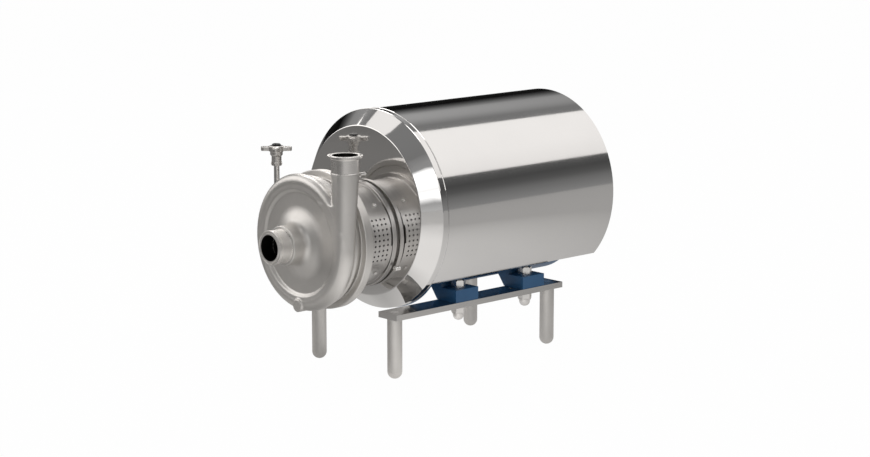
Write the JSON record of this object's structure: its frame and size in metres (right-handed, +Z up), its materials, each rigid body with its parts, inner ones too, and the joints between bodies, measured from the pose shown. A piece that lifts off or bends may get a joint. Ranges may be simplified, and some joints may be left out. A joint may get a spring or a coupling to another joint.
{
  "type": "sanitary centrifugal pump",
  "caption": "Close-coupled sanitary centrifugal pump with a clamped spiral casing, lantern, shrouded motor and a base on round legs.",
  "frame": {"origin": "on the floor, midway along the pump's length, below the shaft axis", "axes": "+X from the suction port towards the motor, along the shaft; +Z up; the outlet is on the -Y side"},
  "size_m": [0.711, 0.3774, 0.4884],
  "materials": {
    "bare_steel": "ground",
    "black_plastic": "moulded",
    "black_rubber": "matt",
    "blue_paint": "semi-gloss paint",
    "brushed_steel": "fine brushed",
    "copper_winding": "varnished",
    "fastener_steel": "plain stainless",
    "laminated_iron": "stacked sheet",
    "polished_steel": "mirror polished stainless",
    "satin_steel": "satin, fine bead-blasted",
    "seal_carbide": "lapped",
    "seal_carbon": "lapped"
  },
  "bodies": {
    "root": {"adapter": "brushed_steel", "back_plate": "satin_steel", "base_bar_far": "satin_steel", "base_bar_near": "satin_steel", "casing_seal_ring": "black_rubber", "clamp_ring": "brushed_steel", "clamp_trunnion": "brushed_steel", "cover_posts": "fastener_steel", "cover_screws": "fastener_steel", "discharge_ferrule": "brushed_steel", "domed_nuts": "fastener_steel", "drive_end_flange": "blue_paint", "entry_plug": "black_plastic", "fan_cowl": "blue_paint", "flange_bolts": "fastener_steel", "foot_nuts": "fastener_steel", "foot_studs": "fastener_steel", "front_bearing_outer": "bare_steel", "guard_far": "brushed_steel", "guard_near": "brushed_steel", "guard_screws": "fastener_steel", "hood": "polished_steel", "hood_screws": "fastener_steel", "leg_front_far": "satin_steel", "leg_front_near": "satin_steel", "leg_rear_far": "satin_steel", "leg_rear_near": "satin_steel", "leg_screws": "fastener_steel", "motor_frame": "blue_paint", "plate_screws": "fastener_steel", "pump_casing": "satin_steel", "rear_bearing_outer": "bare_steel", "rear_cover": "polished_steel", "rear_end_shield": "blue_paint", "seal_seat": "seal_carbide", "shroud_shell": "polished_steel", "stator_core": "laminated_iron", "stator_windings": "copper_winding", "suction_ferrule": "brushed_steel", "terminal_box": "blue_paint", "terminal_lid": "blue_paint"},
    "rotor": {"motor_shaft": "bare_steel", "shaft_key": "bare_steel", "rotor_core": "laminated_iron", "cooling_fan": "black_plastic", "front_bearing_inner": "bare_steel", "rear_bearing_inner": "bare_steel", "stub_shaft": "satin_steel", "shaft_clamp": "bare_steel", "slinger_ring": "black_rubber", "seal_face": "seal_carbon", "seal_drive_ring": "satin_steel", "impeller": "satin_steel", "impeller_nut": "satin_steel"},
    "screw_slide": {"thrust_washer": "brushed_steel"},
    "screw_knob": {"clamp_screw": "polished_steel", "knob_sleeve": "polished_steel", "sleeve_pins": "polished_steel", "star_knob": "polished_steel", "knob_cap": "black_plastic"}
  },
  "joints": [
    {"name": "shaft_spin", "type": "hinge", "parent": "root", "child": "rotor", "pos_m": [0, 0, 0.258], "axis": [-1, 0, 0], "continuous": true},
    {"name": "screw_travel", "type": "slide", "parent": "root", "child": "screw_slide", "axis": [0, 0, 1], "range_m": [0, 0.009]},
    {"name": "knob_turn", "type": "hinge", "parent": "screw_slide", "child": "screw_knob", "pos_m": [-0.22675, 0.135, 0.258], "axis": [0, 0, 1], "range_deg": [0, 2160]}
  ],
  "couplings": [
    {"joint": "knob_turn", "follows": "screw_travel", "rad_per_m": 4188.8}
  ]
}
